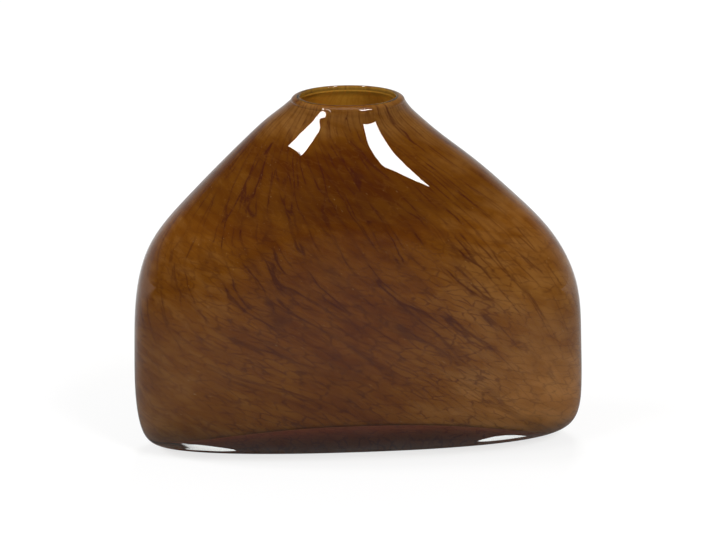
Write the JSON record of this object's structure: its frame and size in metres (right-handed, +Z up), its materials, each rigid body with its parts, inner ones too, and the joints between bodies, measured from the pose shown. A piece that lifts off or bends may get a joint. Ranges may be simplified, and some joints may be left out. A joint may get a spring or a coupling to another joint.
{
  "type": "glass vase",
  "caption": "Flattened mouth-blown vase of amber-brown cased glass, with sloping shoulders, a round mouth and a heavy clear base.",
  "frame": {"origin": "on the table under the middle of the body's outer box", "axes": "+X along the broad width to the right, +Y from the front to the back, +Z up; the front faces -Y"},
  "size_m": [0.253, 0.1044, 0.2009],
  "materials": {
    "casing": "glossy clear glass",
    "colour": "amber-brown glass with darker drawn streaks",
    "lining": "glossy pale amber glass",
    "base": "thick clear glass, ground flat below",
    "lip": "fire-polished clear glass"
  },
  "bodies": {
    "root": {"clear_casing": "casing", "colour_layer": "colour", "inner_lining": "lining", "clear_base": "base", "clear_lip": "lip"}
  },
  "joints": []
}
